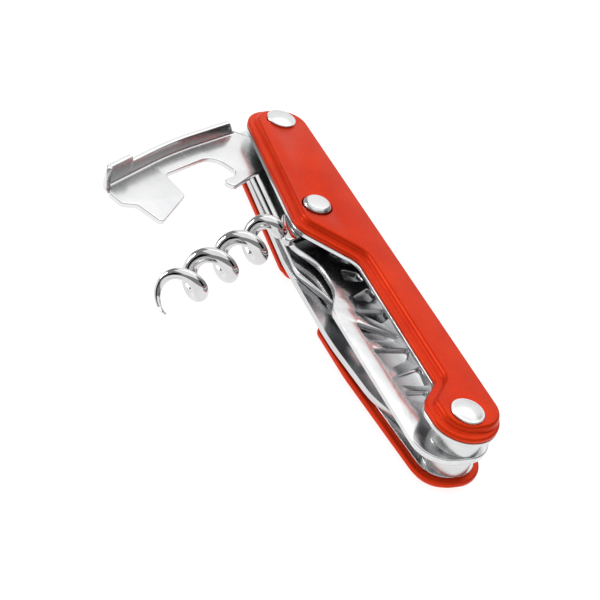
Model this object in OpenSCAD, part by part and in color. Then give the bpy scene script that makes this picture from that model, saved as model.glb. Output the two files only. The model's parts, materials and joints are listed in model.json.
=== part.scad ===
// Folding waiter's corkscrew: two anodised scales over a stack of steel plates, with three cross pivots.
// The worm and the bottle lever stand open as in use, and the knife blade is folded shut between its plates.
// X runs from the near end pivot to the lever's pivot, +Y is the open side, Z is through the stack.

/* [Body] */
// Distance between the two end pivots
pivot_span = 85; // [76:0.5:104]
// Radius of the body's round ends
end_r = 6.2; // [5.6:0.1:7.4]
// How far the open side bulges out beside the worm's pivot
hump_y = 9.7; // [9:0.1:11.5]
// Thickness of each scale
scale_t = 2.4; // [2:0.1:3]

/* [Plates] */
// Thickness of the front liner under the front scale
front_liner_t = 0.8; // [0.6:0.1:1]
// Height of the channel that the lever and the worm's hub share
front_channel = 3.1; // [2.9:0.1:3.8]
// Thickness of the pierced middle plate
middle_t = 1.3; // [1:0.1:1.6]
// Height of the channel behind the middle plate
rear_channel = 3.7; // [3.4:0.1:4.4]
// Thickness of the back liner
back_liner_t = 0.5; // [0.4:0.1:0.8]
// Radius of the corners of the windows in the middle plate
window_corner_r = 0.5; // [0.3:0.05:0.6]

/* [Tools] */
// Thickness of the lever's plate
lever_t = 1.1; // [0.9:0.1:1.4]
// Reach of the lever from its pivot to its tip
lever_reach = 43.6; // [40:0.2:48]
// Height of the lever's flange above its plate
flange_h = 3; // [2.4:0.1:3.4]
// Thickness of the knife blade
blade_t = 1.2; // [0.9:0.1:1.3]
// Outside diameter of the worm
worm_d = 8.4; // [7.6:0.1:8.8]
// Diameter of the worm's wire
wire_d = 2.9; // [2.4:0.1:3.2]
// Advance of the worm in one turn
worm_pitch = 8.9; // [7.5:0.1:9.5]
// Number of turns in the worm
worm_turns = 3.9; // [3:0.1:4.2]

/* [Pivots] */
// Radius of the sleeves through both end pivots
barrel_r = 2.4; // [2:0.1:2.6]
// Radius of the domed heads on the front scale
dome_r = 3; // [2.8:0.1:3.4]
// Height of the domed heads
dome_h = 0.9; // [0.6:0.1:1.2]
// Radial clearance of each tool on its pivot
running_gap = 0.05; // [0.02:0.01:0.09]

/* [Hidden] */
$fn = 96;
soft_r = 7; // a corner of larger radius is a bend in an edge, and takes short steps
soft_steps = 8;
hair = 0.002; // how far a corner's circle reaches past the straight edges, so that it crosses them
side_gap = 0.1; // play between a moving plate and what it slides on

// levels through the stack, from the back face up
back_liner_z = scale_t;
blade_z = back_liner_z + back_liner_t + side_gap;
lock_z = blade_z + blade_t + side_gap;
lock_t = 1.3;
middle_z = back_liner_z + back_liner_t + rear_channel;
channel_z = middle_z + middle_t;
lever_z = channel_z + side_gap;
hub_z = lever_z + lever_t + side_gap;
front_liner_z = channel_z + front_channel;
hub_t = front_liner_z - side_gap - hub_z;
front_scale_z = front_liner_z + front_liner_t;
top_z = front_scale_z + scale_t;

// pivots, measured from the near end pivot
worm_pivot = [pivot_span * 0.665, 4];
end_pivots = [[0, 0], [pivot_span, 0]];

// the scales
rim_inset = 1.6;
plateau_h = 1.1;
bead_r = 0.5;
spine_y = -7.1;
spine_far_y = -5.6;
near_x = -5.2;
far_x = pivot_span + 5;
spine_drop = rim_inset - 0.3; // the raised face runs nearly out to the edge along the spine
recess_x = 9;
recess_y = 1.1;
shoulder_x = worm_pivot[0] - 13.1;

// the worm, in its own frame: +X along its axis, origin on its pivot
worm_angle = 121.5;
worm_side = -1.2;
worm_from = -20; // where round the axis the wire starts
worm_root = 0.2; // how much of the coil's radius the wire has where it leaves the hub
worm_start = 10.2;
worm_r = (worm_d - wire_d) / 2;
worm_z = channel_z + side_gap + worm_d / 2;
rings_per_turn = 20;
wire_sides = 10;

// the lever, in its own frame: +X along its back edge, origin on its pivot
lever_angle = 119;
lever_back = -7.7;
tooth = lever_reach - 12; // where the hook's inner edge stands

// the folded knife blade
blade_edge_y = -3.6;

// the middle plate's windows, which leave a truss of slanting struts between them
windows = [
    [[9.2, 1.6], [11.8, -0.9], [12, 4.5], [10.2, 3.6]],
    [[13, -1.2], [17.8, -1.9], [15.4, 5], [13.9, 4.5]],
    [[19.6, 0], [22.4, -2], [23.2, 5.3], [18, 4.5]],
    [[24.8, 0.2], [26, -1.6], [30.6, 5.6], [25.4, 5.1]],
    [[29.5, 0.4], [31, -1.8], [33.2, -1.8], [33.6, 4.6]],
    [[35.6, 0], [37, -1.8], [39.3, -1.5], [36.6, 3.5]],
    [[41.2, -1.4], [43.8, -1], [45, 2], [41.8, 2.6]],
    [[46.2, -0.5], [49.4, -2], [50, 3.2]]
];

// the pivots' pins and screws
pin_r = 1.8;
screw_r = 1.5;
screw_head_r = 3.2;
screw_seat_z = 1.2;

// ---- rounded outlines: corners [x, y, radius] in counter-clockwise order

function unit(v) = v / norm(v);
function corner(path, i) = path[(i + len(path)) % len(path)];
function point(path, i) = [corner(path, i)[0], corner(path, i)[1]];
function to_prev(path, i) = unit(point(path, i - 1) - point(path, i));
function to_next(path, i) = unit(point(path, i + 1) - point(path, i));
function half_angle(path, i) = acos(to_prev(path, i) * to_next(path, i)) / 2;
function turns_left(path, i) = cross(to_next(path, i), to_prev(path, i)) > 0;
function arc_centre(path, i) =
    point(path, i)
    + unit(to_prev(path, i) + to_next(path, i)) * corner(path, i)[2] / sin(half_angle(path, i));
function touch(path, i, way) = point(path, i) + way * corner(path, i)[2] / tan(half_angle(path, i));
function arc_r(path, i, inset) = corner(path, i)[2] + (turns_left(path, i) ? -inset : inset);
function shifted(path, i, at, inset) =
    arc_centre(path, i) + (at - arc_centre(path, i)) * arc_r(path, i, inset) / corner(path, i)[2];

function is_soft(path, i) = corner(path, i)[2] > soft_r;

// the points along a soft corner, which swings from one edge to the next in short steps
function soft_arc(path, i, inset) =
    let (
        centre = arc_centre(path, i),
        from = touch(path, i, to_prev(path, i)) - centre,
        to = touch(path, i, to_next(path, i)) - centre,
        swing = 180 - 2 * half_angle(path, i),
        way = turns_left(path, i) ? 1 : -1,
        start = atan2(from[1], from[0])
    )
    [for (k = [0:soft_steps])
        let (at = start + way * swing * k / soft_steps)
        centre + arc_r(path, i, inset) * [cos(at), sin(at)]];

function corner_points(path, i, inset) =
    is_soft(path, i) ? soft_arc(path, i, inset)
    : [
        shifted(path, i, touch(path, i, to_prev(path, i)), inset),
        arc_centre(path, i),
        shifted(path, i, touch(path, i, to_next(path, i)), inset)
    ];

module rounded(path, inset = 0) {
    difference() {
        union() {
            polygon([for (i = [0:len(path) - 1]) each corner_points(path, i, inset)]);
            for (i = [0:len(path) - 1])
                if (turns_left(path, i) && !is_soft(path, i))
                    translate(arc_centre(path, i)) circle(r = arc_r(path, i, inset) + hair);
        }
        for (i = [0:len(path) - 1])
            if (!turns_left(path, i) && !is_soft(path, i))
                translate(arc_centre(path, i)) circle(r = arc_r(path, i, inset) + hair);
    }
}

// a plate of the given outline, from z upward
module plate(path, z, t, inset = 0) {
    translate([0, 0, z]) linear_extrude(t) rounded(path, inset);
}

// round holes through everything at the two end pivots
module end_holes(r) {
    for (at = end_pivots)
        translate([at[0], at[1], -1]) cylinder(r = r, h = top_z + 2);
}

module worm_hole(r) {
    translate([worm_pivot[0], worm_pivot[1], -1]) cylinder(r = r, h = top_z + 2);
}

// puts the near end pivot where it belongs, so that the body's middle is at the origin
module placed() {
    translate([-pivot_span / 2, 0, 0]) children();
}

// ---- outlines

function body_ends(drop) = [
    [near_x, spine_y - drop, end_r + 0.4],
    [far_x, spine_far_y - drop, end_r + 0.1],
    [far_x, 6.4, end_r - 0.6]
];

function front_outline(drop = 0) = concat(body_ends(drop), [
    [worm_pivot[0] - 4.2, hump_y, 6],
    [shoulder_x - 1.4, recess_y, 4],
    [recess_x, recess_y, 2.4],
    [4.2, 6, 3.6],
    [near_x, 5.6, end_r - 0.2]
]);

function back_outline(drop = 0) = concat(body_ends(drop), [
    [worm_pivot[0] - 5, hump_y + 0.2, 3.5],
    [worm_pivot[0] - 8.5, 4.5, 2.5],
    [worm_pivot[0] - 17.5, 4.5, 2.5],
    [worm_pivot[0] - 21.5, hump_y, 2.5],
    [pivot_span * 0.27, hump_y - 0.4, 40],
    [near_x, 6.2, end_r - 0.2]
]);

middle_outline = [
    [near_x + 0.4, spine_y + 0.4, end_r - 0.4],
    [far_x - 0.4, spine_far_y + 0.3, end_r - 0.8],
    [far_x - 0.4, 6.2, end_r - 0.8],
    [worm_pivot[0] - 2.5, hump_y - 0.5, 12],
    [near_x + 0.4, 7.9, end_r - 0.2]
];

lock_outline = [
    [worm_pivot[0] - 25, spine_y + 1, 3],
    [far_x - 0.4, spine_far_y + 0.3, end_r - 0.8],
    [far_x - 0.4, 6.2, end_r - 0.8],
    [worm_pivot[0] - 9, hump_y - 0.2, 8],
    [worm_pivot[0] - 25, 3, 4]
];

// ---- scales

// one scale, lying on its flat inner face with its raised face up: foot, rim, bead and raised face
module raised_scale(rim, raised) {
    color("orangered") {
        plate(rim, 0, 0.3, 0.4);
        plate(rim, 0.3, scale_t - plateau_h - bead_r / 2 - 0.3);
        plate(rim, 0.3, scale_t - plateau_h - 0.3, bead_r * 0.7);
        plate(raised, 0, scale_t - 0.25, rim_inset);
        plate(raised, 0, scale_t, rim_inset + 0.25);
    }
}

module front_scale() {
    placed() difference() {
        translate([0, 0, front_scale_z]) raised_scale(front_outline(), front_outline(spine_drop));
        end_holes(barrel_r);
        worm_hole(dome_r + 0.05);
    }
}

module back_scale() {
    placed() difference() {
        translate([0, 0, scale_t]) mirror([0, 0, 1]) raised_scale(back_outline(), back_outline(spine_drop));
        end_holes(barrel_r);
        for (at = end_pivots)
            translate([at[0], at[1], -1]) cylinder(r = screw_head_r, h = 1 + screw_seat_z);
    }
}

// ---- plates

module front_liner() {
    color("silver") placed() difference() {
        plate(front_outline(), front_liner_z, front_liner_t, -0.1);
        end_holes(barrel_r);
        worm_hole(pin_r);
    }
}

module back_liner() {
    color("silver") placed() difference() {
        plate(back_outline(), back_liner_z, back_liner_t, 1.2);
        end_holes(barrel_r);
    }
}

module middle_plate() {
    notch_r = 11;
    notch_depth = 3.3;
    window_scale = pivot_span / 85;
    color("silver") placed() difference() {
        plate(middle_outline, middle_z, middle_t);
        translate([0, 0, middle_z - 1]) linear_extrude(middle_t + 2)
            for (w = windows) rounded([for (at = w) [at[0] * window_scale, at[1], window_corner_r]]);
        translate([worm_pivot[0] - 13.8, hump_y - 0.9 - notch_depth + notch_r, middle_z - 1])
            cylinder(r = notch_r, h = middle_t + 2);
        end_holes(barrel_r);
        worm_hole(pin_r);
    }
}

module lock_plate() {
    color("silver") placed() difference() {
        plate(lock_outline, lock_z, lock_t);
        end_holes(barrel_r);
        worm_hole(pin_r);
    }
}

// ---- lever: tang, opener hook, tooth and a raised flange along its back

lever_outline = [
    [lever_reach + 0.8, lever_back, 2],
    [lever_reach + 1, -1.4, 1],
    [lever_reach - 1.3, 0.5, 0.8],
    [lever_reach - 1.4, 6.8, 0.9],
    [tooth, 3.2, 1.6],
    [tooth - 1.4, -3.5, 1.2],
    [16.4, -3.1, 3.6],
    [16.2, 4.1, 1.8],
    [21.5, 3.7, 1],
    [20.6, 6.4, 1],
    [11, 5.4, 5],
    [-5, 5.6, 4.8],
    [-5, lever_back + 2, 4.8],
    [5, lever_back + 0.6, 3],
    [24, lever_back - 1.1, 90]
];

// the flange that stands up along the lever's back: a band inside the outline, from one reach to another
module lever_flange(from, to, h) {
    intersection() {
        linear_extrude(lever_t + h) difference() {
            rounded(lever_outline);
            rounded(lever_outline, lever_t);
        }
        translate([from, lever_back - 3, -1]) cube([to - from, 5, lever_t + h + 2]);
    }
}

module lever() {
    flange_from = 6;
    tab = 7;
    tab_h = 1.3;
    color("silver") placed() translate([pivot_span, 0, lever_z]) rotate(lever_angle) difference() {
        union() {
            linear_extrude(lever_t) rounded(lever_outline);
            lever_flange(flange_from, lever_reach + 2, flange_h);
            lever_flange(lever_reach - tab, lever_reach - 0.4, flange_h + tab_h);
        }
        translate([0, 0, -1]) cylinder(r = barrel_r + running_gap, h = lever_t + 2);
    }
}

// ---- worm: a round wire wound right-handed about its axis, ground to a point

function worm_phase(t) = worm_from + 360 * worm_turns * t;
function eased(x) = x >= 1 ? 1 : x * x * (3 - 2 * x);
function worm_radius(t) = worm_r * (worm_root + (1 - worm_root) * eased(t * worm_turns / 0.45));
function worm_centre(t) = [
    worm_start + worm_pitch * worm_turns * t,
    worm_side + worm_radius(t) * cos(worm_phase(t)),
    worm_z + worm_radius(t) * sin(worm_phase(t))
];
function wire_r(t) = wire_d / 2 * min(1, 0.16 + 0.84 * (1 - t) * worm_turns / 0.8);
function worm_along(t) = unit(worm_centre(min(1, t + 0.002)) - worm_centre(max(0, t - 0.002)));
function worm_out(t) = unit([0, cos(worm_phase(t)), sin(worm_phase(t))]);

// the points round the wire at t, in the plane across it
function worm_ring(t) = let (
    a = worm_along(t),
    b = unit(cross(a, worm_out(t))),
    c = cross(b, a)
) [for (k = [0:wire_sides - 1])
    let (at = 360 * k / wire_sides)
    worm_centre(t) + wire_r(t) * (cos(at) * c + sin(at) * b)];

module worm() {
    count = round(worm_turns * rings_per_turn);
    rings = [for (i = [0:count]) worm_ring(i / count)];
    last = count * wire_sides;
    color("silver") placed() translate([worm_pivot[0], worm_pivot[1], 0]) rotate(worm_angle)
    polyhedron(
        points = [for (ring = rings) each ring],
        faces = concat(
            [[for (k = [0:wire_sides - 1]) k]],
            [for (i = [0:count - 1], k = [0:wire_sides - 1])
                let (a = i * wire_sides + k, b = i * wire_sides + (k + 1) % wire_sides)
                each [[a, a + wire_sides, b], [b, a + wire_sides, b + wire_sides]]],
            [[for (k = [wire_sides - 1:-1:0]) last + k]]
        )
    );
}

module worm_hub() {
    hub_r = 3.6;
    hub_outline = [
        [-hub_r, -4.4, 3.4],
        [3.9, -4.4, 0.8],
        [worm_start + 1, 1.4, 1],
        [-hub_r, 3.6, 3.4]
    ];
    color("silver") placed() translate([worm_pivot[0], worm_pivot[1], hub_z]) rotate(worm_angle)
    difference() {
        linear_extrude(hub_t) rounded(hub_outline);
        translate([0, 0, -1]) cylinder(r = pin_r + running_gap, h = hub_t + 2);
    }
}

// ---- knife blade, folded shut: its spine faces the open side and its edge faces the body's spine

blade_outline = [
    [12, blade_edge_y, 9],
    [pivot_span - 16, blade_edge_y, 1.5],
    [pivot_span - 14.5, -4.9, 1],
    [pivot_span + 4.6, -5, 4.8],
    [pivot_span + 4.6, 6, 4.8],
    [worm_pivot[0] - 4, hump_y, 20],
    [30, hump_y, 60],
    [15.5, 7.9, 16],
    [5.6, 3.9, 0.4]
];

module knife_blade() {
    bevel_h = 6.5;
    bevel_tilt = asin((blade_t / 2 - 0.12) / bevel_h);
    color("gainsboro") placed() difference() {
        plate(blade_outline, blade_z, blade_t);
        // a long bevel on each face, down to the edge
        for (side = [-1, 1])
            translate([0, blade_edge_y - 0.01, blade_z + blade_t / 2 + side * 0.12])
                rotate([side * bevel_tilt, 0, 0])
                    translate([-2, -3, side > 0 ? 0 : -3])
                        cube([pivot_span - 21, bevel_h + 3, 3]);
        // the nick that a thumb nail opens it by
        translate([worm_pivot[0] - 15, hump_y - 3.2, blade_z + blade_t - 0.35])
            linear_extrude(1) rounded([[-5, -0.6, 0.55], [5, -0.6, 0.55], [5, 0.6, 0.55], [-5, 0.6, 0.55]]);
        translate([pivot_span, 0, -1]) cylinder(r = barrel_r + running_gap, h = top_z);
    }
}

// ---- pivots and spacers

// a low dome of the given radius and height, on z = 0
module dome(r, h) {
    ball_r = (r * r + h * h) / (2 * h);
    intersection() {
        translate([0, 0, h - ball_r]) sphere(r = ball_r, $fn = 200);
        cylinder(r = r, h = h + 1);
    }
}

module end_barrels() {
    edge = 0.25;
    color("gainsboro") placed() for (at = end_pivots) translate([at[0], at[1], 0]) {
        difference() {
            translate([0, 0, screw_seat_z]) cylinder(r = barrel_r, h = top_z - screw_seat_z);
            translate([0, 0, screw_seat_z - 1]) cylinder(r = screw_r, h = top_z - scale_t - screw_seat_z + 1);
        }
        translate([0, 0, top_z]) cylinder(r = dome_r, h = edge);
        translate([0, 0, top_z + edge]) dome(dome_r, dome_h - edge);
    }
}

module end_screws() {
    head_sunk = 0.1;
    color("gainsboro") placed() for (at = end_pivots) translate([at[0], at[1], 0]) difference() {
        union() {
            translate([0, 0, head_sunk]) cylinder(r = screw_head_r, h = screw_seat_z - head_sunk);
            translate([0, 0, screw_seat_z]) cylinder(r = screw_r, h = top_z - scale_t - screw_seat_z);
        }
        translate([0, 0, -0.1]) cylinder(r = 1.5, h = 0.9, $fn = 6);
    }
}

module worm_pivot_pin() {
    button_r = dome_r - 0.25;
    bevel = 0.6;
    color("gainsboro") placed() translate([worm_pivot[0], worm_pivot[1], 0]) {
        translate([0, 0, lock_z]) cylinder(r = pin_r, h = front_scale_z - lock_z);
        translate([0, 0, front_scale_z]) cylinder(r = button_r, h = scale_t + 0.3);
        translate([0, 0, top_z + 0.3]) cylinder(r1 = button_r, r2 = button_r - bevel, h = bevel);
    }
}

// a plain ring of the given radius round a pivot
module ring(at, z, h, r, hole) {
    color("silver") placed() translate([at[0], at[1], z]) difference() {
        cylinder(r = r, h = h);
        translate([0, 0, -1]) cylinder(r = hole, h = h + 2);
    }
}

module front_spacer() {
    ring(end_pivots[0], channel_z, front_channel, 4.5, barrel_r);
}

module rear_spacer() {
    ring(end_pivots[0], back_liner_z + back_liner_t, rear_channel, 4.2, barrel_r);
}

module lever_washer() {
    ring(end_pivots[1], hub_z, front_liner_z - hub_z, 4.6, barrel_r);
}

module knife_washer() {
    ring(end_pivots[1], lock_z + lock_t, middle_z - lock_z - lock_t, 4.6, barrel_r);
}

module hub_washer() {
    ring(worm_pivot, channel_z, hub_z - channel_z - side_gap / 2, 3, pin_r);
}

module pivot_spacer() {
    ring(worm_pivot, lock_z + lock_t, middle_z - lock_z - lock_t, 3, pin_r);
}

// a straight leaf along the body's spine, which bears on the lever's tang
module lever_spring() {
    color("silver") placed() translate([pivot_span * 0.5, -6.1, channel_z])
        cube([pivot_span * 0.43, 0.9, front_channel]);
}

module blade_stop() {
    stop_z = back_liner_z + back_liner_t;
    color("silver") placed() translate([pivot_span * 0.73, -4.8, stop_z])
        cylinder(r = 1, h = lock_z - stop_z);
}

front_scale();
back_scale();
front_liner();
back_liner();
middle_plate();
lock_plate();
lever();
worm();
worm_hub();
knife_blade();
end_barrels();
end_screws();
worm_pivot_pin();
front_spacer();
rear_spacer();
lever_washer();
knife_washer();
hub_washer();
pivot_spacer();
lever_spring();
blade_stop();
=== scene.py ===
# %% [markdown]
# # A folding waiter's corkscrew
# Two red anodised scales hold a stack of polished steel plates. Three cross pivots carry a bottle lever,
# a worm and a small knife blade. The CAD model gives the place and size of every piece, and this lesson
# makes the surfaces: plates with rounded edges, a smooth worm, a bent lever and turned pivots.

import json
import math

import bpy
import numpy as np
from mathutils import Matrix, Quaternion, Vector
from mathutils.geometry import delaunay_2d_cdt


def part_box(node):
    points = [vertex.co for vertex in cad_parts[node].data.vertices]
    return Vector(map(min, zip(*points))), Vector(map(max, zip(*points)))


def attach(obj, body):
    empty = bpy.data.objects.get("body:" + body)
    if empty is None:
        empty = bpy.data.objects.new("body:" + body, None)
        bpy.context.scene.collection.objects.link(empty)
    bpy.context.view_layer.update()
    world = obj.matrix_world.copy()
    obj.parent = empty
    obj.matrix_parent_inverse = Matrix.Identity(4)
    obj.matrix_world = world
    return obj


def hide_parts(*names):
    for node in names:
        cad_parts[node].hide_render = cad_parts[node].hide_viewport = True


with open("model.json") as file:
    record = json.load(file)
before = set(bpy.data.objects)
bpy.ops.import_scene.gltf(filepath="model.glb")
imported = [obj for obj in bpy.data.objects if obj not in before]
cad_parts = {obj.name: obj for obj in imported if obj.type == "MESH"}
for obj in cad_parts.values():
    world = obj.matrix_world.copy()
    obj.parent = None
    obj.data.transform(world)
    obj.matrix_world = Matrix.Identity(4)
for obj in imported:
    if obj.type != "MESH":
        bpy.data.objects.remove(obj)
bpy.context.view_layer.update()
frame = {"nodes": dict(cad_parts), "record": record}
MM = 0.001

# %% [markdown]
# ## Where things are
# The lever turns on one end pivot and the worm on the middle one, so their joints give both places. Plans
# are drawn in millimetres from the other end pivot, the near one. Heights through the stack come from the
# boxes of the CAD nodes, so the new surfaces lie on the old ones.

# %% Pivots and levels
joints = {joint["name"]: joint for joint in frame["record"]["behaviour"]["joints"]}
lever_pivot = np.array(joints["lever_hinge"]["pos_m"][:2]) / MM
worm_pivot = np.array(joints["worm_hinge"]["pos_m"][:2]) / MM
near_pivot = -lever_pivot
span = lever_pivot[0] - near_pivot[0]
middle_x = worm_pivot[0] - near_pivot[0]
middle = (middle_x, worm_pivot[1])
ends = [(0.0, 0.0), (float(span), 0.0)]
lever_angle = math.radians(119)
worm_angle = math.radians(121.5)


def level(node):
    """The lowest and highest z of a CAD node, in millimetres."""
    low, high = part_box(node)
    return low[2] / MM, high[2] / MM


print("pivot span", round(float(span), 2), "worm pivot", worm_pivot.round(3))

# %% [markdown]
# ## Outlines
# Every plate here is a polygon with rounded corners, and a corner is x, y and a radius. A convex corner
# bulges and a concave one is a fillet. Each corner becomes an arc, and straight runs join the arcs. Each
# point keeps its outward normal, so that a loop can be drawn in or pushed out by any distance.


# %% Rounded outlines
def unit(v):
    """Vectors made one long."""
    return v / np.linalg.norm(v, axis=-1, keepdims=True)


def rounded(corners, steps=12):
    """Points and outward normals of a counter-clockwise outline: each corner (x, y, r) is the arc of radius
    r that touches both of its edges, swept evenly from one touching point to the other."""
    corners = np.asarray(corners, float)
    at, radius = corners[:, :2], corners[:, 2:]
    back, ahead = unit(np.roll(at, 1, 0) - at), unit(np.roll(at, -1, 0) - at)
    half = np.arccos(np.clip((back * ahead).sum(1, keepdims=True), -1, 1)) / 2
    side = np.where(back[:, :1] * ahead[:, 1:] - back[:, 1:] * ahead[:, :1] < 0, 1.0, -1.0)
    centre = at + unit(back + ahead) * radius / np.sin(half)
    first = at + back * radius / np.tan(half) - centre
    turn = np.linspace(0, 1, steps + 1)[None, :] * side * (math.pi - 2 * half)
    angle = np.arctan2(first[:, 1:], first[:, :1]) + turn
    arm = np.stack([np.cos(angle), np.sin(angle)], -1)
    points = centre[:, None] + radius[:, None] * arm
    normals = side[:, None] * arm
    return points.reshape(-1, 2), normals.reshape(-1, 2)


def circle(centre, radius, count=64):
    """Points and outward normals of a circle: the centre plus the radius times (cos, sin) of each angle."""
    angle = np.linspace(0, 2 * math.pi, count, endpoint=False)
    arm = np.stack([np.cos(angle), np.sin(angle)], -1)
    return np.asarray(centre) + radius * arm, arm


# %% [markdown]
# ## From outlines to closed solids
# A plate's wall is its loop drawn at several heights, each pulled in by its own amount, so the wall can
# carry a rounded edge. A triangulation that keeps to the loops fills the flat faces between them.


# %% Walls
def loop_faces(count, rows, flip=False):
    """The quads between neighbouring rows of a grid that closes on itself along each row."""
    i = np.arange(rows - 1)[:, None] * count
    j, k = np.arange(count)[None, :], np.roll(np.arange(count), -1)[None, :]
    quads = np.stack([i + j, i + k, i + count + k, i + count + j], -1).reshape(-1, 4)
    return quads[:, ::-1] if flip else quads


def wall(points, normals, stations):
    """The wall over a loop: at each station (inset, z) the loop moves inwards by the inset and goes to z."""
    stations = np.asarray(stations, float)
    flat = points[None] - normals[None] * stations[:, 0, None, None]
    height = np.broadcast_to(stations[:, 1, None, None], flat.shape[:2] + (1,))
    return np.concatenate([flat, height], -1).reshape(-1, 3)


def eased_edge(z0, z1, edge, steps=4):
    """The stations of a wall from z0 to z1 whose two edges are quarter circles of the given radius."""
    a = np.linspace(0, math.pi / 2, steps + 1)
    lower = np.stack([edge * (1 - np.sin(a)), z0 + edge * (1 - np.cos(a))], -1)
    upper = np.stack([edge * (1 - np.cos(a)), z1 - edge * (1 - np.sin(a))], -1)
    return np.concatenate([lower, upper])


# %% Caps and closed solids
def flat_cap(loops):
    """Triangles that fill the first loop and leave out the others, as indices into the loops end to end."""
    points = [Vector(p) for loop in loops for p in loop.tolist()]
    first = np.cumsum([0] + [len(loop) for loop in loops])
    faces = [list(range(a, b)) for a, b in zip(first[:-1], first[1:])]
    _, _, triangles, kept, _, _ = delaunay_2d_cdt(points, [], faces, 2, 1e-7)
    names = np.array([group[0] if group else -1 for group in kept])
    return names[np.array(triangles)]


def closed_solid(walls):
    """A closed solid from its outer wall and the walls of its holes, each given as its points row by row
    and the number of points in a row. Flat caps join their first rows and their last rows."""
    vertices = np.concatenate([points for points, _ in walls])
    faces, rims, start = [], [], 0
    for number, (points, count) in enumerate(walls):
        rows = len(points) // count
        faces.extend((loop_faces(count, rows, flip=number > 0) + start).tolist())
        rims.append((start, start + count * (rows - 1), count))
        start += len(points)
    for end, flip in ((0, True), (1, False)):
        rows = np.concatenate([rim[end] + np.arange(rim[2]) for rim in rims])
        loops = [vertices[rim[end] : rim[end] + rim[2], :2] for rim in rims]
        triangles = rows[flat_cap(loops)]
        faces.extend((triangles[:, ::-1] if flip else triangles).tolist())
    return vertices, faces


def solid_plate(outer, holes, stations):
    """A closed plate: the outer loop and each hole's loop carried up through the same stations."""
    walls = [(wall(*outer, stations), len(outer[0]))]
    walls += [(wall(points, -normals, stations), len(points)) for points, normals in holes]
    return closed_solid(walls)


# %% Placing a piece
def make_piece(name, vertices, faces, material, body, node, place=near_pivot, sharp=32):
    """A mesh from arrays in millimetres, measured from a place in the plan. It rides on a body and stands
    for a CAD node. Edges that turn by more than sharp degrees stay crisp."""
    vertices = np.asarray(vertices, float) + [place[0], place[1], 0]
    mesh = bpy.data.meshes.new(name)
    mesh.from_pydata((vertices * MM).tolist(), [], [list(face) for face in faces])
    mesh.validate()
    mesh.shade_smooth()
    mesh.set_sharp_from_angle(angle=math.radians(sharp))
    mesh.materials.append(material)
    piece = bpy.data.objects.new(name, mesh)
    bpy.context.collection.objects.link(piece)
    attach(piece, body)
    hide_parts(node)
    print(f"{name}: {len(mesh.polygons)} faces")


# %% [markdown]
# ## Finishes
# Each finish is named for the metal and for how its surface was made. One small function adds a node with
# its settings and links. Patterns use Object coordinates in metres, so a scale is one over a real size.


# %% Colour and nodes
def srgb(code):
    """A hex colour as linear light: the sRGB curve undone for each channel."""
    channels = np.array([int(code[i : i + 2], 16) for i in (1, 3, 5)]) / 255
    linear = np.where(channels <= 0.04045, channels / 12.92, ((channels + 0.055) / 1.055) ** 2.4)
    return (*linear.tolist(), 1.0)


def add(tree, kind, settings=None, **links):
    """Adds a node, sets its properties and its sockets' values, and links sockets given as other sockets.
    A socket is named with _ for a space, or by its number after a _ where two share a name."""
    node = tree.nodes.new(kind)
    for key, value in (settings or {}).items():
        setattr(node, key, value)
    for key, value in links.items():
        socket = node.inputs[int(key[1:]) if key[1:].isdigit() else key.replace("_", " ")]
        if isinstance(value, bpy.types.NodeSocket):
            tree.links.new(value, socket)
        else:
            socket.default_value = value
    return node


def new_finish(name):
    """A new material with its node tree, its surface shader and its object coordinates."""
    material = bpy.data.materials.new(name)
    material.use_nodes = True
    tree = material.node_tree
    shader = next(node for node in tree.nodes if node.type == "BSDF_PRINCIPLED")
    where = add(tree, "ShaderNodeTexCoord").outputs["Object"]
    return material, tree, shader, where


def per_mm(size_mm):
    """The texture scale at which one pattern cell measures this many millimetres."""
    return 1 / (size_mm * MM)


def mottle(tree, where, size_mm, detail, ends, dark, light):
    """A colour that drifts between two shades in soft patches of the given size."""
    cloud = add(tree, "ShaderNodeTexNoise", Vector=where, Scale=per_mm(size_mm), Detail=detail)
    ramp = add(tree, "ShaderNodeValToRGB", Fac=cloud.outputs["Fac"])
    for element, position, code in zip(ramp.color_ramp.elements, ends, (dark, light)):
        element.position = position
        element.color = srgb(code)
    return ramp.outputs["Color"]


# %% [markdown]
# ### Anodised aluminium
# The scales are bead blasted and then anodised red. The dye sits in a clear oxide over metal, so the colour
# stays strong in the highlights, and the blasting leaves a fine even grain that spreads them.


# %% Red anodised finish
def anodised_red():
    """A red that is part metal: patches drift in shade, and a fine grain drives colour, gloss and bump."""
    material, tree, shader, where = new_finish("bead blasted red anodised aluminium")
    grain = add(tree, "ShaderNodeTexNoise", Vector=where, Scale=per_mm(0.22), Detail=3.0, Roughness=0.6)
    height = grain.outputs["Fac"]
    # the dye is a little uneven from place to place
    tint = mottle(tree, where, 9.0, 2.0, (0.35, 0.65), "#D02F08", "#DC370B")
    # each blasted pit is slightly darker, which reads as a fine speckle
    speck = add(
        tree, "ShaderNodeMapRange", Value=height, From_Min=0.3, From_Max=0.7, To_Min=0.86, To_Max=1.1
    )
    kind = {"data_type": "RGBA", "blend_type": "MULTIPLY"}
    colour = add(tree, "ShaderNodeMix", kind, Factor=1.0, _6=tint, _7=speck.outputs["Result"])
    tree.links.new(colour.outputs[2], shader.inputs["Base Color"])
    # satin, with tiny glossier points
    rough = add(tree, "ShaderNodeMapRange", Value=height, To_Min=0.3, To_Max=0.42)
    tree.links.new(rough.outputs["Result"], shader.inputs["Roughness"])
    shader.inputs["Metallic"].default_value = 0.4
    shader.inputs["Specular IOR Level"].default_value = 0.12
    bump = add(tree, "ShaderNodeBump", Height=height, Strength=0.12, Distance=0.00004)
    tree.links.new(bump.outputs["Normal"], shader.inputs["Normal"])
    return material


# %% [markdown]
# ### Polished steels
# The worm is buffed to a mirror. The plates are tumbled, which leaves tiny random scratches. The lever and
# the blade are belt ground, so their scratches run one way, and the lever's sheet keeps a slight wave.


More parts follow.
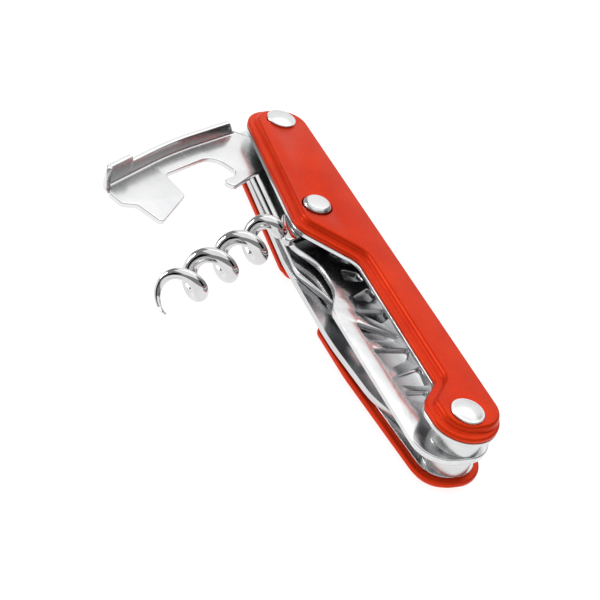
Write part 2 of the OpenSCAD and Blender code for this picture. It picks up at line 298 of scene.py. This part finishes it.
# %% Steel finishes
def steel(name, dark, light, roughness, spread, grain_mm, scratch, stretch=(1, 1, 1), turn=0.0, wave=0.0):
    """Polished steel: a mottled grey, a roughness that varies by spread, and scratches of a width in mm.
    Stretch scales the scratches along each axis after a turn about Z, so a small x draws them long."""
    material, tree, shader, where = new_finish(name)
    mapped = add(tree, "ShaderNodeMapping", Vector=where, Rotation=(0, 0, -turn), Scale=stretch)
    lines = add(
        tree, "ShaderNodeTexNoise", Vector=mapped.outputs["Vector"], Scale=per_mm(grain_mm), Detail=4.0
    )
    height = lines.outputs["Fac"]
    # soft patches keep a broad face from looking like one flat grey
    tint = mottle(tree, where, 3.5, 3.0, (0.3, 0.7), dark, light)
    tree.links.new(tint, shader.inputs["Base Color"])
    shader.inputs["Metallic"].default_value = 1.0
    # scratches are duller than the ground between them
    rough = add(tree, "ShaderNodeMapRange", Value=height, From_Min=0.3, From_Max=0.7)
    rough.inputs["To Min"].default_value = roughness
    rough.inputs["To Max"].default_value = roughness + spread
    tree.links.new(rough.outputs["Result"], shader.inputs["Roughness"])
    fine = add(tree, "ShaderNodeBump", Height=height, Strength=scratch, Distance=0.00002)
    if wave:
        # a slow swell bends reflections a little, as thin sheet does
        swell = add(tree, "ShaderNodeTexNoise", Vector=where, Scale=per_mm(5.0), Detail=1.0)
        slow = add(tree, "ShaderNodeBump", Height=swell.outputs["Fac"], Strength=wave, Distance=0.0003)
        tree.links.new(slow.outputs["Normal"], fine.inputs["Normal"])
    tree.links.new(fine.outputs["Normal"], shader.inputs["Normal"])
    return material


# %% Make the finishes
red = anodised_red()
along, across = (0.06, 1, 1), (1, 0.06, 1)
mirror_steel = steel("mirror buffed worm steel", "#CACACB", "#D6D6D6", 0.04, 0.02, 0.3, 0.002)
lever_steel = steel(
    "belt ground lever steel", "#DCDDDE", "#E2E2E2", 0.2, 0.08, 0.12, 0.1, along, lever_angle, 0.02
)
plate_steel = steel("tumbled plate steel", "#CFD0D1", "#E0E0E1", 0.14, 0.1, 0.25, 0.08)
blade_steel = steel("cross ground blade steel", "#CDCED0", "#D6D7D8", 0.18, 0.08, 0.1, 0.12, across)
turned_steel = steel("turned and polished pivot steel", "#D2D3D4", "#DCDCDC", 0.24, 0.08, 0.15, 0.08)
inner_steel = steel("stamped inner steel", "#8F9193", "#A5A7A9", 0.3, 0.15, 0.2, 0.2)
spring_steel = steel("blued spring steel", "#5A5D62", "#6E7176", 0.28, 0.12, 0.2, 0.2)
made = (red, mirror_steel, lever_steel, plate_steel, blade_steel, turned_steel, inner_steel, spring_steel)
print("finishes:", [material.name for material in made])

# %% [markdown]
# ## The scales
# A scale is one piece of blasted aluminium. The front one is cut back so that the folded worm has room, and
# the back one has a notch for a thumb. Round the edge runs a low ledge, and then the raised face steps up
# with a rolled edge. The raised face has its own outline, which reaches nearly to the edge at the spine.

# %% Scale outlines
spine_drop = 1.3
hump_y, end_r = 9.7, 6.2
near_x, far_x = -5.2, span + 5


def body_ends(drop):
    """The corners at the spine and at the far end. Drop pushes the spine outwards."""
    return [[near_x, -7.1 - drop, end_r + 0.4], [far_x, -5.6 - drop, end_r + 0.1], [far_x, 6.4, end_r - 0.6]]


def front_outline(drop=0.0):
    """The front scale: a hump round the worm's pivot, a long recess, and a rounded head at the near end."""
    return body_ends(drop) + [
        [middle_x - 4.2, hump_y, 6],
        [middle_x - 14.5, 1.1, 4],
        [9, 1.1, 2.4],
        [4.2, 6, 3.6],
        [near_x, 5.6, end_r - 0.2],
    ]


def back_outline(drop=0.0):
    """The back scale: full height, but for the thumb notch."""
    return body_ends(drop) + [
        [middle_x - 5, hump_y + 0.2, 3.5],
        [middle_x - 8.5, 4.5, 2.5],
        [middle_x - 17.5, 4.5, 2.5],
        [middle_x - 21.5, hump_y, 2.5],
        [span * 0.27, hump_y - 0.4, 40],
        [near_x, 6.2, end_r - 0.2],
    ]


# %% Scale sections
# rim: foot, outer wall, rounded edge and ledge, as (inset, height)
rim_profile = [
    (0.55, 0), (0.3, 0.03), (0.1, 0.13), (0, 0.32), (0, 0.66), (0.05, 0.86), (0.18, 0.99), (0.4, 1.06),
    (0.7, 1.09), (1.0, 1.1), (1.22, 1.13),
]  # fmt: skip
# raised face: a small fillet out of the ledge, its side, and the rolled edge of the top
raised_profile = [
    (1.36, 1.2), (1.45, 1.34), (1.5, 1.54), (1.54, 1.78), (1.6, 1.98), (1.7, 2.16), (1.83, 2.29),
    (1.97, 2.37), (2.12, 2.4),
]  # fmt: skip
# a hole through a scale, with a light chamfer at both ends
hole_profile = [(0.12, 0), (0, 0.12), (0, 2.3), (0.03, 2.37), (0.1, 2.4)]


def scale_solid(outline, holes, base, up, snug=1.0):
    """A scale: the rim's section carried round its outline, then the raised section round its own, from a
    base upwards (up = 1) or downwards (up = -1). Snug narrows both, to leave room for the screw heads."""
    rim_line, raised_line = (np.array(line) * [snug, 1] for line in (rim_profile, raised_profile))
    rim = wall(*rounded(outline()), rim_line)
    raised = wall(*rounded(outline(spine_drop * snug)), raised_line)
    walls = [(np.concatenate([rim, raised]), len(rim) // len(rim_line))]
    for centre, radius in holes:
        points, normals = circle(centre, radius, 72)
        walls.append((wall(points, -normals, hole_profile), len(points)))
    vertices, faces = closed_solid(walls)
    vertices[:, 2] = base + up * vertices[:, 2]
    return vertices, faces if up > 0 else [face[::-1] for face in faces]


# %% Make both scales
barrel_hole_r = 2.42
front_holes = [(middle, 3.05), (ends[0], barrel_hole_r), (ends[1], barrel_hole_r)]
front = scale_solid(front_outline, front_holes, level("front_scale")[0], 1)
make_piece("front_scale_shell", *front, red, "frame", "front_scale")
back_holes = [(ends[0], 3.21), (ends[1], 3.21)]
back = scale_solid(back_outline, back_holes, level("back_scale")[1], -1, 0.78)
make_piece("back_scale_shell", *back, red, "frame", "back_scale")

# %% [markdown]
# ## The plates
# The steel plates are blanked from sheet and tumbled, so every edge is slightly round and catches a bright
# line. The middle one is pierced by a truss of eight windows, which makes it light, and it is cut away over
# the thumb notch. Each plate is a wall round its outline and its holes, with a quarter circle at each edge.

# %% Plate outlines
far_end = [[far_x - 0.4, -5.3, end_r - 0.8], [far_x - 0.4, 6.2, end_r - 0.8]]
middle_outline = [
    [near_x + 0.4, -6.7, end_r - 0.4],
    *far_end,
    [middle_x - 2.5, hump_y - 0.5, 6],
    [middle_x - 5, 8.4, 4],
    [middle_x - 10, 5.6, 9],
    [middle_x - 17, 5.5, 9],
    [middle_x - 22.6, 8.6, 4],
    [near_x + 0.4, 7.9, end_r - 0.2],
]
lock_outline = [
    [middle_x - 25, -6.1, 3],
    *far_end,
    [middle_x - 9, hump_y - 0.2, 8],
    [middle_x - 25, 3, 4],
]
windows = [
    [[9.2, 1.6], [11.8, -0.9], [12, 4.5], [10.2, 3.6]],
    [[13, -1.2], [17.8, -1.9], [15.4, 5], [13.9, 4.5]],
    [[19.6, 0], [22.4, -2], [23.2, 5.3], [18, 4.5]],
    [[24.8, 0.2], [26, -1.6], [30.6, 5.6], [25.4, 5.1]],
    [[29.5, 0.4], [31, -1.8], [33.2, -1.8], [33.6, 4.6]],
    [[35.6, 0], [37, -1.8], [39.3, -1.5], [36.6, 3.5]],
    [[41.2, -1.4], [43.8, -1], [45, 2], [41.8, 2.6]],
    [[46.2, -0.5], [49.4, -2], [50, 3.2]],
]
window_r = 0.5
window_loops = [rounded([[*corner, window_r] for corner in window], 6) for window in windows]
print("windows:", len(window_loops))


# %% Make the plates
def make_plate(name, outline, holes, node, edge, inset=0.0):
    """A blanked plate that stands for a CAD node and lies between that node's own two faces."""
    points, normals = rounded(outline)
    stations = eased_edge(*level(node), edge)
    vertices, faces = solid_plate((points - normals * inset, normals), holes, stations)
    make_piece(name, vertices, faces, plate_steel, "frame", node)


end_holes = [circle(at, barrel_hole_r) for at in ends]
three_holes = end_holes + [circle(middle, 1.82)]
make_plate("truss_plate", middle_outline, three_holes + window_loops, "middle_plate", 0.22)
make_plate("liner_lock_plate", lock_outline, three_holes, "lock_plate", 0.22)
make_plate("front_liner_plate", front_outline(), three_holes, "front_liner", 0.12)
make_plate("back_liner_plate", back_outline(), end_holes, "back_liner", 0.1, inset=1.2)

# %% [markdown]
# ## The bottle lever
# The lever is stamped from sheet: a hook for bottle caps, a tooth, and a tip that sits on a bottle's rim.
# Its back edge is bent up into a flange that stiffens it, follows it round the tip corner, and carries a
# small raised tab. The plate stops short of the bend. A strip with the section of the bent sheet is swept
# along the back of the outline: foot, rounded bend, wall, rounded top.


# %% Turning, resampling and easing
def turned(points, angle):
    """Points turned about +Z by an angle."""
    c, s = math.cos(angle), math.sin(angle)
    return points @ np.array([[c, s, 0], [-s, c, 0], [0, 0, 1]])


def resampled(points, normals, count):
    """Even steps along an open path, with the normals carried along and made one long again."""
    along = np.concatenate([[0], np.cumsum(np.linalg.norm(np.diff(points, axis=0), axis=1))])
    at = np.linspace(0, along[-1], count)
    pick = [np.interp(at, along, column) for column in (*points.T, *normals.T)]
    return np.stack(pick[:2], -1), unit(np.stack(pick[2:], -1))


def eased(x):
    """A smooth step: 0 up to 0, 1 from 1, and 3x^2 - 2x^3 between."""
    x = np.clip(x, 0, 1)
    return x * x * (3 - 2 * x)


# %% Lever outline, from its pivot: x runs to the tip, and the back edge lies at negative y
reach, back_y, bend_r, lever_t = 43.6, -7.7, 1.5, 1.1
lever_front = [
    [reach + 1, -1.4, 1], [reach - 1.3, 0.5, 0.8], [reach - 1.4, 6.8, 0.9], [reach - 12, 3.2, 1.6],
    [reach - 13.4, -3.5, 1.2], [16.4, -3.1, 3.6], [16.2, 4.1, 1.8], [21.5, 3.7, 1], [20.6, 6.4, 1],
    [11, 5.4, 5], [-5, 5.6, 4.8], [-5, back_y + 2, 4.8],
]  # fmt: skip
lever_back = [[5, back_y + 0.6, 3], [24, back_y - 1.1, 90], [reach + 0.8, back_y, 2]]
plate_back = [
    [5, back_y + 0.6 + bend_r, 3], [24, back_y - 1.1 + bend_r, 90],
    [reach + 0.8 - bend_r, back_y + bend_r, 0.5], [reach + 0.82, back_y + 2.9, 0.4],
]  # fmt: skip


# %% Lever flange
def bent_section(t, top):
    """The bent sheet's section at each step of the path, as (distance out of the back edge, height): a foot
    inside the plate, the outer bend, a rounded crown at that step's top, and the inner bend."""
    foot_in, foot_up = bend_r + 0.5, 0.03
    a = np.linspace(-math.pi / 2, 0, 9)
    arm = np.stack([np.cos(a), np.sin(a)], -1)
    centre = [-bend_r, bend_r]
    low = np.concatenate([[[-foot_in, foot_up]], centre + bend_r * arm])
    crown = np.array([[0, -0.3], [-0.08, -0.1], [-0.25, 0], [-t + 0.25, 0], [-t + 0.08, -0.1], [-t, -0.3]])
    high = np.concatenate([(centre + (bend_r - t) * arm)[::-1], [[-foot_in, t - foot_up]]])
    line = np.concatenate([low, crown, high])
    follows_top = np.repeat([0, 1, 0], [len(low), len(crown), len(high)])
    height = line[:, 1] + follows_top * top[:, None]
    out = np.broadcast_to(line[:, 0], height.shape)
    return np.stack([out, np.minimum(height, top[:, None])], -1)


def lever_flange(z0, t, flange_h=3.0, tab_h=1.3):
    """The bent strip: the section drawn out of the outline's back edge, step by step along it. Its top rises
    over the tab and falls away at both ends."""
    steps = 24
    points, normals = rounded(lever_back + lever_front, steps)
    # from the middle of the first corner to the end of the fourth, which is past the tip
    run = slice(steps // 2, 4 * (steps + 1))
    points, normals = resampled(points[run], normals[run], 1200)
    low = (points[:, 0] > 6) & (points[:, 1] < back_y + 2.4)
    points, normals = resampled(points[low], normals[low], 150)
    x, y = points.T
    rise = eased((x - 5.8) / 2.5) * eased((back_y + 2.5 - y) / 1.5)
    tab = eased((x - reach + 7.4) / 0.8) * eased((back_y + 1.6 - y) / 0.9)
    section = bent_section(t, t + (flange_h + tab_h * tab) * rise)
    section[..., 1] += z0
    flat = points[:, None] + normals[:, None] * section[..., :1]
    vertices = np.concatenate([flat, section[..., 1:]], -1)
    count, size = vertices.shape[:2]
    cap = flat_cap([section[-1]])
    faces = loop_faces(size, count).tolist() + cap[:, ::-1].tolist() + (cap + size * (count - 1)).tolist()
    return vertices.reshape(-1, 3), [face[::-1] for face in faces]


# %% Make the lever
lever_z = level("lever")[0]
plate_stations = eased_edge(lever_z, lever_z + lever_t, 0.2)
plate_v, plate_f = solid_plate(rounded(plate_back + lever_front), [circle((0, 0), 2.46)], plate_stations)
flange_v, flange_f = lever_flange(lever_z, lever_t)
lever_v = turned(np.concatenate([plate_v, flange_v]), lever_angle)
lever_f = plate_f + [[i + len(plate_v) for i in face] for face in flange_f]
make_piece("stamped_lever", lever_v, lever_f, lever_steel, "lever", "lever", lever_pivot)

# %% [markdown]
# ## The worm
# The worm is round wire wound on a mandrel, ground to a point and buffed. Its centre line is a helix whose
# radius grows out of the root, and a circle is carried along it. Its tip closes with a small round nose.
# The root is forged into a flat hub that turns on the middle pivot.

# %% Worm sizes, from its pivot: the axis runs along x
turns, pitch, worm_start, axis_y, axis_z = 3.9, 8.9, 10.2, -1.2, 12.2
helix_r, wire_r = 2.74, 1.41


def helix(t):
    """The centre line at each t from 0 to 1, and the direction out of its axis there. The distance along is
    the pitch times the turns, and the radius grows by a smooth step in the first half turn."""
    phase = np.radians(-20 + 360 * turns * t)
    radius = helix_r * (0.2 + 0.8 * eased(t * turns / 0.45))
    line = [worm_start + pitch * turns * t, axis_y + radius * np.cos(phase), axis_z + radius * np.sin(phase)]
    return np.stack(line, -1), np.stack([0 * phase, np.cos(phase), np.sin(phase)], -1)


# %% Worm
def worm_surface(sides=36, per_turn=64, nose_rows=6):
    """A circle carried along the helix: the centre line plus the wire's radius times (cos, sin) in the plane
    across it. The wire thins over its last turn, and the tip shrinks as a quarter circle does."""
    t = np.linspace(0, 1, round(turns * per_turn) + 1)
    line, out = helix(t)
    along = unit(helix(t + 0.001)[0] - helix(t - 0.001)[0])
    radius = wire_r * np.minimum(1, 0.16 + 0.84 * (1 - t) * turns / 0.8)
    across = unit(np.cross(along, out))
    outward = np.cross(across, along)
    nose = np.linspace(0, math.pi / 2 - 0.12, nose_rows + 1)[1:]
    index = np.concatenate([np.arange(len(t)), np.full(nose_rows, len(t) - 1)])
    shrink = np.concatenate([np.ones(len(t)), np.cos(nose)])
    shift = np.concatenate([np.zeros(len(t)), np.sin(nose)]) * radius[index]
    angle = np.linspace(0, 2 * math.pi, sides, endpoint=False)[:, None]
    ring = np.cos(angle) * outward[index][:, None] + np.sin(angle) * across[index][:, None]
    middles = line[index] + along[index] * shift[:, None]
    vertices = middles[:, None] + ring * (radius[index] * shrink)[:, None, None]
    rows = len(index)
    faces = loop_faces(sides, rows).tolist()
    faces.append(list(range(sides - 1, -1, -1)))
    faces.append(list(range((rows - 1) * sides, rows * sides)))
    return vertices.reshape(-1, 3), faces


worm_v, worm_f = worm_surface()
worm_v = turned(worm_v, worm_angle)
make_piece("wound_worm", worm_v, worm_f, mirror_steel, "worm", "worm", worm_pivot, sharp=60)

# %% Worm hub
hub_outline = [[-3.6, -4.4, 3.4], [3.9, -4.4, 0.8], [11.2, 1.4, 1], [-3.6, 3.6, 3.4]]
hub_stations = eased_edge(*level("worm_hub"), 0.45, 6)
hub_v, hub_f = solid_plate(rounded(hub_outline), [circle((0, 0), 1.86)], hub_stations)
hub_v = turned(hub_v, worm_angle)
make_piece("forged_worm_hub", hub_v, hub_f, mirror_steel, "worm", "worm_hub", worm_pivot)

# %% [markdown]
# ## Pivots and spacers
# The pivots are turned on a lathe. Each end pivot is a sleeve whose head is a stepped ring with a low dome in
# it, and the middle one is a pin with a taller, bevelled button. A profile carried round the pivot makes
# each of them. The two spacers at the near end are plain rings with softened edges.


# %% Turned pieces
def revolved(profile, centre, count=72):
    """A closed turned piece: the profile (radius, z) carried round, with its first and last points on the
    axis, where the rows close in fans."""
    profile = np.asarray(profile, float)
    arm = circle((0, 0), 1, count)[1]
    rings = profile[1:-1, None, :1] * arm[None]
    height = np.broadcast_to(profile[1:-1, None, 1:], rings.shape[:2] + (1,))
    body = np.concatenate([rings, height], -1).reshape(-1, 3)
    poles = np.array([[0, 0, profile[0, 1]], [0, 0, profile[-1, 1]]])
    vertices = np.concatenate([body, poles]) + [centre[0], centre[1], 0]
    j, k = np.arange(count), np.roll(np.arange(count), -1)
    low_pole, high_pole = (np.full(count, len(body) + which) for which in (0, 1))
    top = count * (len(profile) - 3)
    fans = [np.stack([k, j, low_pole], -1), np.stack([top + j, top + k, high_pole], -1)]
    return vertices, loop_faces(count, len(profile) - 2).tolist() + np.concatenate(fans).tolist()


# %% End pivots
top_z = level("front_scale")[1]
bore_r, bore_top, seat_z, head_top = 1.53, 11.8, 1.2, 15.1
dome_a = np.linspace(1, 0, 10)[:, None]
dome_line = np.concatenate([2.62 * dome_a, head_top - 0.5 * dome_a**2], -1)
sleeve_line = [
    [0, bore_top], [bore_r, bore_top], [bore_r, seat_z], [2.28, seat_z], [2.4, seat_z + 0.12],
    [2.4, top_z], [2.92, top_z], [3, top_z + 0.08], [3, top_z + 0.24], [2.95, top_z + 0.33],
    [2.86, top_z + 0.38], [2.72, top_z + 0.38],
]  # fmt: skip
blocks = [revolved(np.concatenate([sleeve_line, dome_line]), at) for at in ends]
sleeves_v = np.concatenate([vertices for vertices, _ in blocks])
sleeves_f = blocks[0][1] + [[i + len(blocks[0][0]) for i in face] for face in blocks[1][1]]
make_piece("turned_end_barrels", sleeves_v, sleeves_f, turned_steel, "frame", "end_barrels", sharp=25)

# %% Middle pivot
pin_line = [
    [0, 4.3], [1.7, 4.3], [1.8, 4.4], [1.8, bore_top], [2.75, bore_top], [2.75, 14.46], [2.7, 14.56],
    [2.24, 15.02], [2.12, 15.08], [1.95, head_top], [0, head_top],
]  # fmt: skip
pin = revolved(pin_line, middle)
make_piece("turned_worm_pin", *pin, turned_steel, "frame", "worm_pivot_pin", sharp=25)

# %% Near end spacers
for node, radius in (("front_spacer", 4.5), ("rear_spacer", 4.2)):
    stations = eased_edge(*level(node), 0.25)
    spacer = solid_plate(circle(ends[0], radius, 96), [circle(ends[0], barrel_hole_r)], stations)
    make_piece("turned_" + node, *spacer, turned_steel, "frame", node)

# %% [markdown]
# ## Finishes on the CAD pieces
# The blade, the screws, the washers, the spring and the stop are plain enough to keep their CAD surfaces.
# Every CAD node gets the finish of its own metal, also those that a new piece stands for.

# %% Give every CAD node its finish
nodes_of = [
    (red, "front_scale back_scale"),
    (plate_steel, "front_liner back_liner middle_plate lock_plate"),
    (lever_steel, "lever"),
    (mirror_steel, "worm worm_hub"),
    (blade_steel, "knife_blade"),
    (turned_steel, "end_barrels end_screws worm_pivot_pin front_spacer rear_spacer"),
    (inner_steel, "lever_washer knife_washer hub_washer pivot_spacer blade_stop"),
    (spring_steel, "lever_spring"),
]
finish_of = {node: material for material, names in nodes_of for node in names.split()}
for node, material in finish_of.items():
    for slot in frame["nodes"][node].material_slots:
        slot.material = material
print("finished CAD nodes:", len(finish_of))

# %% [markdown]
# ## Camera, light and floor
# A long lens looks down on the tool from its open side. The light is a plain white room with a large soft
# panel overhead, one beyond the tool that the polished faces mirror, and a small one on the left. The floor
# glows softly. Two dark cards stand out of view, because polished steel in an all white room would vanish:
# they draw the black bands along the worm and inside the flange.

# %% Camera
camera_data = bpy.data.cameras.new("camera")
camera_data.lens = 93.3
camera_data.sensor_width = 36
camera_data.shift_x = -0.0092
camera_data.shift_y = -0.0354
camera_data.clip_start, camera_data.clip_end = 0.01, 20
camera = bpy.data.objects.new("camera", camera_data)
bpy.context.collection.objects.link(camera)
camera.location = Vector((-191.2, 142.95, 174.0)) * MM
aim = Vector((1.2, 9.69, 7.0)) * MM
view = (aim - camera.location).normalized()
roll = math.radians(-19.68)
camera.rotation_mode = "QUATERNION"
camera.rotation_quaternion = Quaternion(view, roll) @ view.to_track_quat("-Z", "Y")
bpy.context.scene.camera = camera
camera_right = camera.rotation_quaternion @ Vector((1, 0, 0))
camera_up = camera.rotation_quaternion @ Vector((0, 1, 0))
print("camera", [round(c, 4) for c in camera.location])


# %% Floor, cards and panels
def stand(name, data, location, aim_at, axis):
    """A new object at a place, turned so that the named axis looks at a point."""
    thing = bpy.data.objects.new(name, data)
    bpy.context.collection.objects.link(thing)
    thing.location = location
    thing.rotation_mode = "QUATERNION"
    thing.rotation_quaternion = (Vector(aim_at) - Vector(location)).to_track_quat(axis, "Y")
    return thing


def stage_card(name, size, location, aim_at, colour, glow=0.0):
    """A square paper card that faces a point: pale and glowing for the floor, black for a flag."""
    h = size / 2
    mesh = bpy.data.meshes.new(name)
    mesh.from_pydata([(-h, -h, 0), (h, -h, 0), (h, h, 0), (-h, h, 0)], [], [(0, 1, 2, 3)])
    material, tree, shader, where = new_finish(name + " paper")
    fibre = add(tree, "ShaderNodeTexNoise", Vector=where, Scale=per_mm(2.0), Detail=3.0)
    rough = add(tree, "ShaderNodeMapRange", Value=fibre.outputs["Fac"], To_Min=0.85, To_Max=0.95)
    tree.links.new(rough.outputs["Result"], shader.inputs["Roughness"])
    shader.inputs["Base Color"].default_value = srgb(colour)
    shader.inputs["Specular IOR Level"].default_value = 0.0
    shader.inputs["Emission Color"].default_value = srgb("#FFFFFF")
    shader.inputs["Emission Strength"].default_value = glow
    mesh.materials.append(material)
    stand(name, mesh, location, aim_at, "Z")


def soft_panel(name, size, location, power):
    """A square area light that faces the tool."""
    light = bpy.data.lights.new(name, "AREA")
    light.shape = "SQUARE"
    light.size = size
    light.energy = power
    stand(name, light, location, tool, "-Z")


tool = Vector((0, 0.01, 0.01))
mirrored = Vector((view.x, view.y, -view.z))
stage_card("floor", 6, (0, 0, -0.00005), (0, 0, 1), "#909090", glow=0.9)
stage_card("side flag", 0.3, tool + camera_right * 0.55 - view * 0.1, tool, "#050505")
stage_card("camera flag", 0.3, tool - view * 0.45 - camera_right * 0.3, tool, "#101010")
soft_panel("far panel", 0.9, tool + mirrored * 0.7, 2.1)
soft_panel("overhead panel", 1.0, tool + Vector((0, 0, 0.6)), 2.7)
soft_panel("left panel", 0.3, tool - camera_right * 0.7 + camera_up * 0.4 - view * 0.1, 2)

# %% The room
world = bpy.data.worlds.new("white room")
bpy.context.scene.world = world
world.use_nodes = True
sky = next(node for node in world.node_tree.nodes if node.type == "BACKGROUND")
sky.inputs["Color"].default_value = srgb("#FFFFFF")
sky.inputs["Strength"].default_value = 0.3
bpy.context.scene.view_settings.view_transform = "Standard"
print("lights:", [light.name for light in bpy.data.lights])
